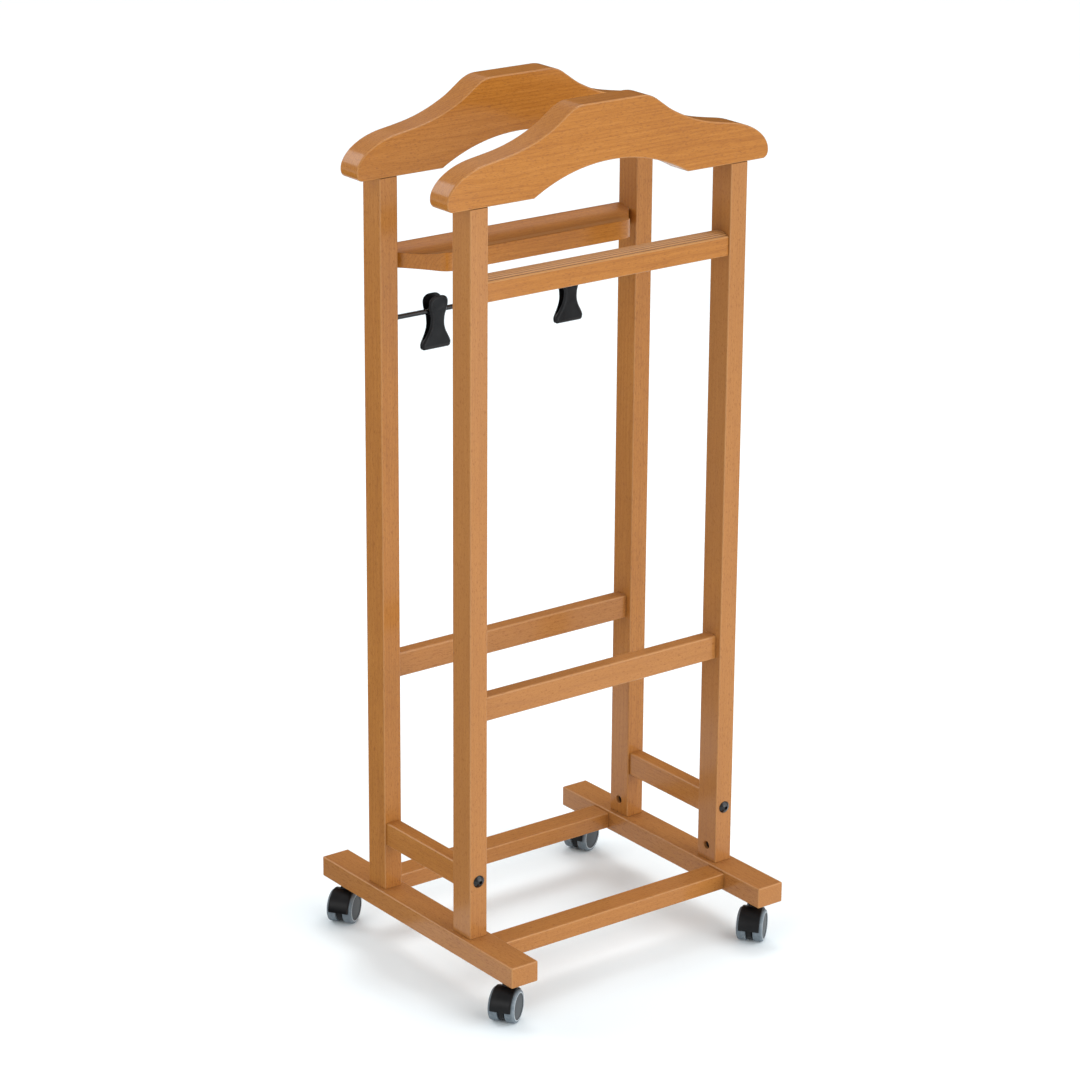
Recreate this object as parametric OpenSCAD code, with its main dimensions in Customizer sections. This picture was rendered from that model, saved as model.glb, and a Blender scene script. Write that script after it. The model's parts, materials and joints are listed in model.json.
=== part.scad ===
// Valet stand: a beech frame with two shoulders, a tray, a trouser bar and
// a rod with two clips, rolling on four twin-wheel castors.
// Millimetres. X runs along the shoulders, -Y is the front, Z is up from the floor.

/* [Frame] */
// Outer width over the posts
frame_w = 396.5; // [360:0.5:440]
// Outer depth over the posts
frame_d = 210; // [190:5:240]
// Height of the posts' top ends above the floor
post_top = 956; // [920:1:1000]
// Width of a post, along X
post_w = 24.5; // [22:0.5:28]
// Depth of a post, along Y
post_d = 35; // [30:1:38]

/* [Base] */
// Width of a foot bar
foot_w = 38; // [36:1:44]
// Length of a foot bar
foot_l = 393; // [385:1:420]
// Height of a foot bar
foot_h = 26; // [24:1:30]
// Height of the base rails
base_rail_h = 20.5; // [18:0.5:24]
// Depth of the base rails
base_rail_d = 32; // [24:1:34]

/* [Rails] */
// Thickness of the side stretchers and mid rails
rail_t = 19; // [18:1:21]
// Height of the side stretchers and mid rails
rail_h = 30; // [28:1:36]
// Height of the stretchers' centre above the floor
stretcher_z = 147; // [140:1:200]
// Height of the mid rails' centre above the floor
mid_rail_z = 357; // [300:1:450]

/* [Trouser bar and tray] */
// Underside of the trouser bar and the tray
shelf_z = 846; // [830:1:860]
// Depth of the trouser bar
bar_d = 30; // [26:1:34]
// Height of the trouser bar's flat sides
bar_side_h = 23; // [20:1:26]
// Rise of the trouser bar's crown
bar_crown = 5; // [3:0.5:6]
// Thickness of the tray at its edges
tray_t = 22; // [20:1:26]
// Depth of the tray, front to back
tray_d = 76; // [60:1:90]
// Depth of the dish in the tray
tray_dish = 4.5; // [3:0.5:6]

/* [Shoulders] */
// Overall width of a shoulder
shoulder_w = 458; // [440:2:480]
// Height of a shoulder
shoulder_h = 98; // [90:1:110]
// Width of the flat top
shoulder_flat = 80; // [70:2:120]
// Width of the arch in the underside
arch_w = 220; // [180:2:240]
// Height of the arch
arch_h = 29.5; // [20:0.5:36]

/* [Clips] */
// Diameter of the clip rod
rod_d = 6; // [6:0.5:6.5]
// Height of the rod above the floor
rod_z = 784; // [770:1:800]
// Place of the left clip along the rod
clip_left_x = -109.5; // [-150:0.5:-60]
// Place of the right clip along the rod
clip_right_x = 85; // [60:0.5:150]
// Height of a clip
clip_h = 65; // [60:1:68]
// Width of a clip's jaws at the bottom
clip_w = 40.4; // [38:0.2:42]

/* [Castors] */
// Diameter of a castor wheel
wheel_d = 40; // [40:1:40]
// Width over the two wheels
castor_w = 33; // [32:0.5:34]
// Distance from the stem to the wheels' axle
castor_trail = 15; // [14:0.5:16]
// Distance of the stems from the middle, front and back
castor_y = 168; // [164:1:170]
// Directions in which the wheels trail: front left, front right, rear left, rear right
castor_turn = [-146.5, -142, -145.5, -157];

/* [Hidden] */
$fn = 64;

// Places of the frame's members
post_x = (frame_w - post_w) / 2;
post_y = (frame_d - post_d) / 2;
span = frame_w - 2 * post_w;
castor_h = 49;
foot_top = castor_h + foot_h;
foot_gap = 2 * post_x - foot_w;
base_rail_y = frame_d / 2 - 6 + base_rail_d / 2;
base_rail_z = foot_top - 3 - base_rail_h / 2;
stretcher_l = frame_d - 2 * post_d;
tray_front = frame_d / 2 - tray_d;

// Fastenings
dowel_d = 8;
dowel_l = 28;
dowel_gap = 14;
bolt_d = 6;
nut_d = 10;
nut_l = 14;
nut_z = foot_top + 18;
bolt_head_d = 15;
bolt_head_h = 4.2;
insert_d = 10;
insert_l = 13;
foot_bolt_head_d = 10;
foot_bolt_sink = 7.5;
rod_hole = 9;

// Clips
clip_pivot = 46;
lug_r = 4.7;
clip_top_half = 9;
clip_foot_half = 3.2;
plate_t = 2.1;

// Castors
wheel_r = wheel_d / 2;
web_t = 7.4;
core_r = wheel_r - 2.6;
axle_d = 5;
pin_d = 6;
pin_bottom = 37;
hood_top = 47;
fender_in = wheel_r + 0.8;
fender_out = wheel_r + 2.4;
fender_w = 26;

LEFT = -1;
RIGHT = 1;
FRONT = -1;
REAR = 1;

wood = "peru";
oak = "burlywood";

// ---- Helpers ----

module along_x(d, l) { rotate([0, 90, 0]) cylinder(d = d, h = l, center = true); }
module along_y(d, l) { rotate([90, 0, 0]) cylinder(d = d, h = l, center = true); }

// A point at t on the curve with end points a, d and handles b, c
function curve_at(a, b, c, d, t) =
    pow(1 - t, 3) * a + 3 * t * pow(1 - t, 2) * b + 3 * t * t * (1 - t) * c + pow(t, 3) * d;
function curve(a, b, c, d, n) = [for (i = [0 : n]) curve_at(a, b, c, d, i / n)];
function mirrored(half) = concat(half, [for (i = [len(half) - 1 : -1 : 0]) [-half[i][0], half[i][1]]]);

// Puts its children at the four posts
module at_posts() {
    for (sx = [LEFT, RIGHT], sy = [FRONT, REAR]) translate([sx * post_x, sy * post_y, 0]) children();
}

// ---- Dowel places, shared by the wood and the dowels ----

module shoulder_dowel_set(sy, d, l) {
    for (sx = [LEFT, RIGHT], o = [-0.5, 0.5])
        translate([sx * post_x, sy * post_y + o * dowel_gap, post_top]) cylinder(d = d, h = l, center = true);
}

// Dowels in both ends of a member that spans the posts
module end_dowel_set(reach, y, z, dy, dz, d, l) {
    for (sx = [LEFT, RIGHT], o = [-0.5, 0.5])
        translate([sx * reach, y + o * dy, z + o * dz]) along_x(d, l);
}
module mid_rail_dowel_set(sy, d, l) { end_dowel_set(span / 2, sy * post_y, mid_rail_z, 0, dowel_gap, d, l); }
module bar_dowel_set(d, l) { end_dowel_set(span / 2, -post_y, shelf_z + 12, dowel_gap, 0, d, l); }
module tray_dowel_set(d, l) { end_dowel_set(span / 2, frame_d / 2 - 10.5, shelf_z + 10, 10, 0, d, l); }
module base_dowel_set(sy, d, l) { end_dowel_set(foot_gap / 2, sy * base_rail_y, base_rail_z, dowel_gap, 0, d, l); }

// ---- Frame ----

module post(sx, sy) {
    color(wood) difference() {
        translate([sx * post_x, sy * post_y, (foot_top + post_top) / 2])
            cube([post_w, post_d, post_top - foot_top], center = true);
        shoulder_dowel_set(sy, dowel_d, dowel_l + 2);
        mid_rail_dowel_set(sy, dowel_d, dowel_l + 1);
        if (sy == FRONT) bar_dowel_set(dowel_d, dowel_l + 1);
        if (sy == REAR) {
            tray_dowel_set(dowel_d, dowel_l + 1);
            translate([0, post_y, rod_z]) along_x(rod_d + 0.2, span + 2 * rod_hole);
        }
        // bolt from the foot, and the barrel nut's hole from the inner face
        translate([sx * post_x, sy * post_y, foot_top - 1]) cylinder(d = bolt_d + 0.6, h = 28);
        translate([sx * (post_x - post_w / 2 + 9), sy * post_y, nut_z]) along_x(nut_d + 0.2, 20);
        // stretcher bolt, right through
        translate([sx * post_x, sy * post_y, stretcher_z]) along_y(bolt_d + 0.6, post_d + 2);
    }
}

module foot(sx) {
    color(wood) difference() {
        translate([sx * post_x, 0, castor_h + foot_h / 2]) cube([foot_w, foot_l, foot_h], center = true);
        for (sy = [FRONT, REAR]) {
            translate([sx * post_x, sy * post_y, castor_h - 1]) cylinder(d = bolt_d + 0.6, h = foot_h + 2);
            translate([sx * post_x, sy * post_y, castor_h - 1])
                cylinder(d = foot_bolt_head_d + 1, h = foot_bolt_sink + 1);
            translate([sx * post_x, sy * castor_y, castor_h - 1]) cylinder(d = insert_d, h = 21);
            base_dowel_set(sy, dowel_d, dowel_l + 1);
        }
    }
}

module base_rail(sy) {
    color(wood) difference() {
        translate([0, sy * base_rail_y, base_rail_z]) cube([foot_gap, base_rail_d, base_rail_h], center = true);
        base_dowel_set(sy, dowel_d, dowel_l + 1);
    }
}

module side_stretcher(sx) {
    color(wood) difference() {
        translate([sx * post_x, 0, stretcher_z]) cube([rail_t, stretcher_l, rail_h], center = true);
        for (sy = [FRONT, REAR]) translate([sx * post_x, sy * stretcher_l / 2, stretcher_z]) {
            along_y(insert_d, 2 * insert_l);
            along_y(bolt_d + 0.6, 2 * insert_l + 10);
        }
    }
}

module mid_rail(sy) {
    color(wood) difference() {
        translate([0, sy * post_y, mid_rail_z]) cube([span, rail_t, rail_h], center = true);
        mid_rail_dowel_set(sy, dowel_d, dowel_l + 1);
    }
}

module trouser_bar() {
    crown_r = (pow(bar_d / 2, 2) + pow(bar_crown, 2)) / (2 * bar_crown);
    top = shelf_z + bar_side_h + bar_crown;
    color(wood) difference() {
        intersection() {
            translate([0, -post_y, (shelf_z + top) / 2]) cube([span, bar_d, top - shelf_z], center = true);
            translate([0, -post_y, top - crown_r]) rotate([0, 90, 0])
                cylinder(r = crown_r, h = span + 2, center = true, $fn = 128);
        }
        bar_dowel_set(dowel_d, dowel_l + 1);
    }
}

// The tray seen from above: straight lip, rounded corners, slanting ends
module tray_plan() {
    lip = 118;
    corner = curve([lip, tray_front], [lip + 10, tray_front], [lip + 15.5, tray_front + 2.5],
        [lip + 20.5, tray_front + 9], 5);
    end = curve([lip + 26, tray_front + 18], [lip + 32, tray_front + 28.5],
        [lip + 40.5, tray_front + 39], [span / 2, tray_front + 55], 4);
    polygon(mirrored(concat(corner, end, [[span / 2, frame_d / 2]])));
}

module tray() {
    half = tray_d / 2 - 4;
    dish_r = (pow(half, 2) + pow(tray_dish, 2)) / (2 * tray_dish);
    color(wood) difference() {
        translate([0, 0, shelf_z]) linear_extrude(tray_t) tray_plan();
        translate([0, tray_front + tray_d / 2, shelf_z + tray_t - tray_dish + dish_r]) rotate([0, 90, 0])
            cylinder(r = dish_r, h = span + 2, center = true, $fn = 180);
        tray_dowel_set(dowel_d, dowel_l + 1);
    }
}

// ---- Shoulders ----

// Outline of a shoulder, with its underside at 0
function shoulder_half() = let (w = shoulder_w / 2, h = shoulder_h, flat = shoulder_flat / 2) concat(
    [[w - 8, 0]],
    curve([w - 8, 0], [w - 3.5, 0], [w, 4], [w, 10], 4),
    curve([w, 10], [w, 26], [w - 22, 43.5], [w - 56, 48.8], 9),
    curve([w - 84, 53.6], [w - 107, 58.2], [w - 125, 65.5], [w - 143, 75], 6),
    curve([flat + 26, h - 9.5], [flat + 18, h - 3.5], [flat + 10, h], [flat, h], 6));

module shoulder(sy) {
    arch_r = (pow(arch_w / 2, 2) + pow(arch_h, 2)) / (2 * arch_h);
    color(wood) difference() {
        translate([0, sy * post_y, post_top]) rotate([90, 0, 0])
            linear_extrude(post_d, center = true) polygon(mirrored(shoulder_half()));
        translate([0, sy * post_y, post_top + arch_h - arch_r]) along_y(2 * arch_r, post_d + 2, $fn = 180);
        shoulder_dowel_set(sy, dowel_d, dowel_l + 2);
    }
}

// ---- Dowels and fastenings ----

module shoulder_dowels() {
    color(oak) for (sy = [FRONT, REAR]) shoulder_dowel_set(sy, dowel_d - 0.1, dowel_l);
}

module cross_rail_dowels() {
    color(oak) {
        for (sy = [FRONT, REAR]) mid_rail_dowel_set(sy, dowel_d - 0.1, dowel_l);
        bar_dowel_set(dowel_d - 0.1, dowel_l);
        tray_dowel_set(dowel_d - 0.1, dowel_l);
    }
}

module base_rail_dowels() {
    color(oak) for (sy = [FRONT, REAR]) base_dowel_set(sy, dowel_d - 0.1, dowel_l);
}

module foot_bolts() {
    seat = castor_h + foot_bolt_sink;
    color("dimgray") at_posts() difference() {
        union() {
            translate([0, 0, seat - 6]) cylinder(d = foot_bolt_head_d, h = 6);
            translate([0, 0, seat - 1]) cylinder(d = bolt_d, h = nut_z + 8 - seat + 1);
        }
        translate([0, 0, seat - 7]) cylinder(d = 5.8, h = 4.5, $fn = 6);
    }
}

module foot_barrel_nuts() {
    color("silver") for (sx = [LEFT, RIGHT], sy = [FRONT, REAR])
        translate([sx * (post_x - 1), sy * post_y, nut_z]) difference() {
            along_x(nut_d, nut_l);
            translate([sx, 0, 0]) cylinder(d = bolt_d + 0.1, h = nut_d + 2, center = true);
            // screwdriver slot in the end that faces the hole's mouth
            translate([-sx * nut_l / 2, 0, 0]) cube([3, 1.2, nut_d + 2], center = true);
        }
}

module stretcher_bolts() {
    color("dimgray") for (sx = [LEFT, RIGHT], sy = [FRONT, REAR])
        translate([sx * post_x, sy * frame_d / 2, stretcher_z]) rotate([-sy * 90, 0, 0]) difference() {
            union() {
                intersection() {
                    cylinder(d = bolt_head_d, h = bolt_head_h);
                    translate([0, 0, bolt_head_h - 9.5]) sphere(r = 9.5);
                }
                translate([0, 0, -post_d - insert_l + 1]) cylinder(d = bolt_d, h = post_d + insert_l);
            }
            translate([0, 0, 1.6]) cylinder(d = 4.6, h = 4, $fn = 6);
        }
}

module stretcher_inserts() {
    color("gold") for (sx = [LEFT, RIGHT], sy = [FRONT, REAR])
        translate([sx * post_x, sy * (stretcher_l / 2 - insert_l / 2), stretcher_z]) difference() {
            along_y(insert_d - 0.1, insert_l);
            along_y(bolt_d + 0.1, insert_l + 2);
        }
}

module castor_inserts() {
    color("gold") for (sx = [LEFT, RIGHT], sy = [FRONT, REAR])
        translate([sx * post_x, sy * castor_y, castor_h]) difference() {
            cylinder(d = insert_d - 0.1, h = 18);
            translate([0, 0, -1]) cylinder(d = 8.1, h = 20);
        }
}

// The fixed part of each castor: a threaded stud, a collar and the pin it swivels on
module castor_stems() {
    color("silver") for (sx = [LEFT, RIGHT], sy = [FRONT, REAR])
        translate([sx * post_x, sy * castor_y, 0]) {
            translate([0, 0, castor_h - 0.5]) cylinder(d = 8, h = 17);
            translate([0, 0, hood_top + 0.5]) cylinder(d = 13, h = castor_h - hood_top - 0.5);
            translate([0, 0, pin_bottom]) cylinder(d = pin_d, h = hood_top + 1 - pin_bottom);
        }
}

module clip_rod() {
    color("black") translate([0, post_y, rod_z]) along_x(rod_d, span + 2 * rod_hole - 2);
}

// ---- Clips ----

// Face of a jaw, bottom edge at 0
function jaw_half() = let (w = clip_w / 2, h = clip_h) concat(
    curve([w - 3.2, 0], [w - 1.4, 0.2], [w, 1.8], [w, 4.6], 3),
    curve([w, 6.5], [w - 2.6, 14], [9.7, 21], [9.7, 33], 6),
    curve([9.8, 38], [10.6, 45], [13.3, 46], [13.3, h - 9], 4),
    curve([13.3, h - 8.5], [12.9, h - 3.2], [8.6, h], [2.5, h], 4));

// Side view of a jaw: handle leaning out at the top, grip pad at the bottom
module jaw_side() {
    polygon([[0.1, 0], [clip_foot_half, 0.6], [clip_foot_half + 0.4, 5], [clip_top_half, clip_h],
        [clip_top_half - plate_t, clip_h], [clip_foot_half + 0.9, 16], [0.1, 9.5]]);
}

// One jaw at the rod's place, leaning towards +Y; lug_x is the inner side of its lugs
module jaw(x, side, lug_x) {
    color("darkslategray") translate([x, post_y, rod_z]) mirror([0, side < 0 ? 1 : 0, 0]) difference() {
        union() {
            intersection() {
                translate([0, 0, -clip_pivot]) rotate([90, 0, 0])
                    linear_extrude(40, center = true) polygon(mirrored(jaw_half()));
                translate([0, 0, -clip_pivot]) rotate([90, 0, 90])
                    linear_extrude(clip_w + 2, center = true) jaw_side();
            }
            for (s = [-1, 1]) translate([s * (lug_x + 1), 0, 0]) {
                along_x(2 * lug_r, 2);
                translate([0, lug_r / 2 + 0.6, 0]) cube([2, lug_r + 1.2, 2 * lug_r], center = true);
            }
        }
        along_x(rod_d + 0.12, clip_w + 2);
    }
}

module clip_spring(x) {
    color("silver") translate([x, post_y, rod_z]) difference() {
        union() {
            along_x(8.8, 7.6);
            // legs that press the two handles apart
            for (s = [-1, 1]) translate([s * 3.1, s * 4.6, 6.5]) rotate([-s * 11, 0, 0])
                cylinder(d = 1.2, h = 13, center = true);
        }
        along_x(rod_d + 0.12, 10);
    }
}

// ---- Castors ----

// Puts its children at castor i (0 front left, 1 front right, 2 rear left, 3 rear right),
// with the wheels trailing along the children's +X
module at_castor(i) {
    sx = i % 2 == 0 ? LEFT : RIGHT;
    sy = i < 2 ? FRONT : REAR;
    translate([sx * post_x, sy * castor_y, 0]) rotate([0, 0, castor_turn[i]]) children();
}
module at_axle() { translate([castor_trail, 0, wheel_r]) children(); }

// The space that the wheels turn in, outside the web
module wheel_room() {
    for (s = [-1, 1]) translate([0, s * (web_t / 2 + 10), 0]) along_y(2 * fender_in, 20);
}

module hood(i) {
    color("black") at_castor(i) difference() {
        union() {
            at_axle() {
                along_y(2 * wheel_r - 3, web_t);
                intersection() {
                    along_y(2 * fender_out, fender_w);
                    rotate([90, 0, 0]) linear_extrude(fender_w + 2, center = true)
                        polygon([[0, 0], [30, -0.8], [30, 30], [-22, 30], [-22, 12]]);
                }
            }
            translate([-4, 0, 32]) cube([14, web_t, 26], center = true);
            translate([0, 0, 30]) cylinder(d = 13.5, h = hood_top - 30);
            translate([6.5, 0, 42]) cube([13, 12, 6], center = true);
        }
        at_axle() {
            wheel_room();
            along_y(axle_d, web_t + 2);
        }
        translate([0, 0, pin_bottom - 0.5]) cylinder(d = pin_d + 0.1, h = 20);
    }
}

module axle(i) { color("silver") at_castor(i) at_axle() along_y(axle_d, castor_w - 4); }

// Profile of half a wheel about its axle: radius across, distance from the web up
module core_profile() {
    w = (castor_w - web_t) / 2 - 0.3;
    polygon([[axle_d / 2 + 0.05, 0], [5.5, 0], [5.5, 1], [7, w - 3.5], [core_r - 3, w - 3.5], [core_r - 2, 0.6],
        [core_r, 0.6], [core_r, w - 0.6], [core_r - 1.6, w], [core_r - 2.6, w - 0.9], [0, w - 0.6],
        [0, w - 1.8], [axle_d / 2 + 0.05, w - 1.8]]);
}
module tread_profile() {
    w = (castor_w - web_t) / 2 - 0.3;
    polygon([[core_r, 0.6], [wheel_r - 0.8, 0.6], [wheel_r, 1.6], [wheel_r, w - 2.2],
        [wheel_r - 0.5, w - 1.1], [wheel_r - 1.4, w - 0.5], [core_r, w - 0.4]]);
}
module wheel_side(i, s) {
    at_castor(i) at_axle() rotate([-s * 90, 0, 0]) translate([0, 0, web_t / 2 + 0.3]) children();
}
module core(i, s) { color("dimgray") wheel_side(i, s) rotate_extrude($fn = 96) core_profile(); }
module tread(i, s) { color("lightslategray") wheel_side(i, s) rotate_extrude($fn = 96) tread_profile(); }

// ---- Nodes ----

post(LEFT, FRONT);  // front_left_post
post(RIGHT, FRONT);  // front_right_post
post(LEFT, REAR);  // rear_left_post
post(RIGHT, REAR);  // rear_right_post
foot(LEFT);  // left_foot
foot(RIGHT);  // right_foot
base_rail(FRONT);  // front_base_rail
base_rail(REAR);  // rear_base_rail
side_stretcher(LEFT);  // left_side_stretcher
side_stretcher(RIGHT);  // right_side_stretcher
mid_rail(FRONT);  // front_mid_rail
mid_rail(REAR);  // rear_mid_rail
trouser_bar();
tray();
shoulder(FRONT);  // front_shoulder
shoulder(REAR);  // rear_shoulder
shoulder_dowels();
cross_rail_dowels();
base_rail_dowels();
foot_bolts();
foot_barrel_nuts();
stretcher_bolts();
stretcher_inserts();
castor_inserts();
castor_stems();
clip_rod();
clip_spring(clip_left_x);  // left_clip_spring
jaw(clip_left_x, REAR, 4.2);  // left_clip_rear_jaw
jaw(clip_left_x, FRONT, 6.5);  // left_clip_front_jaw
clip_spring(clip_right_x);  // right_clip_spring
jaw(clip_right_x, REAR, 4.2);  // right_clip_rear_jaw
jaw(clip_right_x, FRONT, 6.5);  // right_clip_front_jaw
hood(0);  // front_left_hood
axle(0);  // front_left_axle
core(0, -1);  // front_left_outer_core
tread(0, -1);  // front_left_outer_tread
core(0, 1);  // front_left_inner_core
tread(0, 1);  // front_left_inner_tread
hood(1);  // front_right_hood
axle(1);  // front_right_axle
core(1, 1);  // front_right_outer_core
tread(1, 1);  // front_right_outer_tread
core(1, -1);  // front_right_inner_core
tread(1, -1);  // front_right_inner_tread
hood(2);  // rear_left_hood
axle(2);  // rear_left_axle
core(2, -1);  // rear_left_outer_core
tread(2, -1);  // rear_left_outer_tread
core(2, 1);  // rear_left_inner_core
tread(2, 1);  // rear_left_inner_tread
hood(3);  // rear_right_hood
axle(3);  // rear_right_axle
core(3, 1);  // rear_right_outer_core
tread(3, 1);  // rear_right_outer_tread
core(3, -1);  // rear_right_inner_core
tread(3, -1);  // rear_right_inner_tread
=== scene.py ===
import json
import math
import random

import bmesh
import bpy
from mathutils import Matrix, Vector


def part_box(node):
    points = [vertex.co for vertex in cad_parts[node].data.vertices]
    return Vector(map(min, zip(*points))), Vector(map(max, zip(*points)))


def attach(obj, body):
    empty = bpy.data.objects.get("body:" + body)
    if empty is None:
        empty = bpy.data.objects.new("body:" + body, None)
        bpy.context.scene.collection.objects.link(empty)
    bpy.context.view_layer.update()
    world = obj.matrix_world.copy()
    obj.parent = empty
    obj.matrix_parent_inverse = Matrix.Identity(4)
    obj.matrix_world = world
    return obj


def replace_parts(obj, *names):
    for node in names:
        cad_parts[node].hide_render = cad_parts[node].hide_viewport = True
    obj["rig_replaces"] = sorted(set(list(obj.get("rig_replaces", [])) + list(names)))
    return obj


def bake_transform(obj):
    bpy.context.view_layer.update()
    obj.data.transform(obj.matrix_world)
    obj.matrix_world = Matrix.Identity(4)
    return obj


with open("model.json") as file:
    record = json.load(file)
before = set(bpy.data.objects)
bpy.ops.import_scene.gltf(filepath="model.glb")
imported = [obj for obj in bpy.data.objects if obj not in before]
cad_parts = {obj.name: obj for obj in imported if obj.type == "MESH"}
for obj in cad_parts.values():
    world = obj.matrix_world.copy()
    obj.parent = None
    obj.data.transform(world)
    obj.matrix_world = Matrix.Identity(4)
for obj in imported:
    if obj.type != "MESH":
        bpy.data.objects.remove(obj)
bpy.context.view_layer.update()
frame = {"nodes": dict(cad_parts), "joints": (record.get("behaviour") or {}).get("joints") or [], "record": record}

NODES = frame["nodes"]
BODIES = frame["record"]["behaviour"]["bodies"]
JOINTS = {j["name"]: j for j in frame["joints"]}
MM = 0.001
SIDES = {"left": -1, "right": 1}
ENDS = {"front": -1, "rear": 1}
CORNERS = [(end, side) for end in ENDS for side in SIDES]
scene = bpy.context.scene


def body_of_node(node):
    return next(body for body, members in BODIES.items() if node in members)


# ---------------------------------------------------------------- shader maths

class Value:
    """A socket that takes part in Python sums; each sign adds one Math node."""

    def __init__(self, finish, socket):
        self.finish, self.socket = finish, socket

    def maths(self, operation, *terms):
        return self.finish.node("ShaderNodeMath", {"operation": operation}, dict(enumerate(terms)))

    def __add__(self, other): return self.maths("ADD", self, other)
    __radd__ = __add__
    def __mul__(self, other): return self.maths("MULTIPLY", self, other)
    __rmul__ = __mul__
    def __sub__(self, other): return self.maths("SUBTRACT", self, other)
    def __rsub__(self, other): return self.maths("SUBTRACT", other, self)
    def __truediv__(self, other): return self.maths("DIVIDE", self, other)
    def __pow__(self, other): return self.maths("POWER", self, other)


class Finish:
    """A material under construction: one Principled shader and the nodes that feed it."""

    def __init__(self, name, **constants):
        self.material = bpy.data.materials.new(name)
        self.material.use_nodes = True
        self.tree = self.material.node_tree
        self.tree.nodes.clear()
        self.shader = self.tree.nodes.new("ShaderNodeBsdfPrincipled")
        output = self.tree.nodes.new("ShaderNodeOutputMaterial")
        self.tree.links.new(self.shader.outputs[0], output.inputs[0])
        for socket, value in constants.items():
            self.shader.inputs[socket.replace("_", " ")].default_value = value

    def node(self, kind, settings=None, sockets=None, output=0):
        """Adds a node: its settings first, then the values or links of its sockets."""
        made = self.tree.nodes.new(kind)
        for key, value in (settings or {}).items():
            if key == "stops":
                ramp = made.color_ramp
                while len(ramp.elements) < len(value):
                    ramp.elements.new(0.5)
                for stop, (place, colour) in zip(ramp.elements, value):
                    stop.position, stop.color = place, colour
            else:
                setattr(made, key, value)
        for key, value in (sockets or {}).items():
            if isinstance(value, Value):
                self.tree.links.new(value.socket, made.inputs[key])
            else:
                made.inputs[key].default_value = value
        return Value(self, made.outputs[output])

    def feed(self, socket, value):
        self.tree.links.new(value.socket, self.shader.inputs[socket])

    def place(self, attribute=None):
        """Where a point is: on the object, or in a piece's own measure."""
        if attribute:
            return self.node("ShaderNodeAttribute", {"attribute_name": attribute}, output=1)
        return self.node("ShaderNodeTexCoord", output=3)

    def painted(self, layer):
        """A number that is stored at each point of the mesh."""
        return self.node("ShaderNodeAttribute", {"attribute_name": layer}, output=2)

    def stretch(self, vector, scale):
        return self.node("ShaderNodeVectorMath", {"operation": "MULTIPLY"}, {0: vector, 1: scale})

    def noise(self, vector, scale, detail=2.0, roughness=0.5):
        """Grey noise from 0 to 1, with its own scale along each direction."""
        sockets = {"Vector": self.stretch(vector, scale), "Scale": 1.0, "Detail": detail,
                   "Roughness": roughness}
        return self.node("ShaderNodeTexNoise", {"noise_dimensions": "3D"}, sockets)

    def between(self, value, low, high, to_low=0.0, to_high=1.0):
        """The part of value between low and high, spread from to_low to to_high."""
        return self.node("ShaderNodeMapRange", {"interpolation_type": "SMOOTHSTEP"}, {
            "Value": value, "From Min": low, "From Max": high, "To Min": to_low, "To Max": to_high})

    def blend(self, factor, first, second):
        """A colour that goes from first to second."""
        settings = {"data_type": "RGBA", "blend_type": "MIX", "clamp_factor": True}
        return self.node("ShaderNodeMix", settings, {0: factor, 6: first, 7: second}, output=2)

    def relief(self, height, depth, strength=1.0):
        return self.node("ShaderNodeBump", None,
                         {"Height": height, "Distance": depth, "Strength": strength})


def rgb(red, green, blue):
    return (red, green, blue, 1.0)


# -------------------------------------------------------------------- finishes

def lacquered_beech():
    """Steamed beech, stained orange brown under satin lacquer; reads each board's own grain."""
    wood = Finish("lacquered_beech", Coat_Weight=0.5, Coat_Roughness=0.16, Coat_IOR=1.5,
                  Specular_IOR_Level=0.10)
    ring_width = 3.6 * MM
    board = wood.place("grain")
    axes = wood.node("ShaderNodeSeparateXYZ", None, {0: board})
    across = Value(wood, axes.socket.node.outputs[1])
    through = Value(wood, axes.socket.node.outputs[2])
    wander = wood.noise(board, (5.0, 26.0, 26.0), 2.0) - 0.5
    # growth rings about a pith that lies outside the board
    bent = across + wander * 0.012
    from_pith = (bent * bent + through * through) ** 0.5
    ring = wood.node("ShaderNodeMath", {"operation": "FRACT"}, {0: from_pith / ring_width})
    late_wood = wood.between(ring, 0.55, 0.98)
    fibre = wood.noise(board, (60.0, 1300.0, 1300.0), 3.0, 0.65)
    streak = wood.noise(board, (9.0, 260.0, 260.0), 2.0)
    cloud = wood.noise(board, (6.0, 18.0, 18.0), 2.0)
    # the short dark dashes that mark beech, and finer pores between them
    fleck = wood.between(wood.noise(board, (190.0, 760.0, 900.0), 1.0), 0.58, 0.70)
    pore = wood.between(wood.noise(board, (520.0, 1700.0, 1700.0), 1.0), 0.56, 0.72)
    tone = ((cloud - 0.5) * 0.55 + (streak - 0.5) * 0.62 + (fibre - 0.5) * 0.95
            + late_wood * 0.20 + 0.42)
    stops = [(0.10, rgb(0.460, 0.180, 0.028)), (0.50, rgb(0.385, 0.139, 0.016)),
             (0.90, rgb(0.290, 0.092, 0.009))]
    stained = wood.node("ShaderNodeValToRGB", {"stops": stops}, {0: tone})
    tint = wood.painted("tint")
    toned = wood.blend(tint, stained, rgb(0.370, 0.165, 0.056))
    flecked = wood.blend(fleck * 0.44 + pore * 0.34, toned, rgb(0.190, 0.058, 0.010))
    # painted highlight: rounded edges are mixed towards pale orange, and the bar's crown strip is paler still
    highlight_and_pale_crown = wood.blend(wood.painted("paler") * 0.5, flecked, rgb(0.56, 0.31, 0.13))
    # painted shade: the joints at stick ends and the bar's crown grooves are mixed towards near black
    wood.feed("Base Color", wood.blend(wood.painted("seam") * 0.85, highlight_and_pale_crown, rgb(0.050, 0.016, 0.005)))
    wood.feed("Roughness", 0.46 + (cloud - 0.5) * 0.12 + (fibre - 0.5) * 0.10)
    wood.feed("Normal", wood.relief(fibre - fleck * 0.5 - pore * 0.3, 0.00008, 0.5))
    return wood.material


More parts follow.
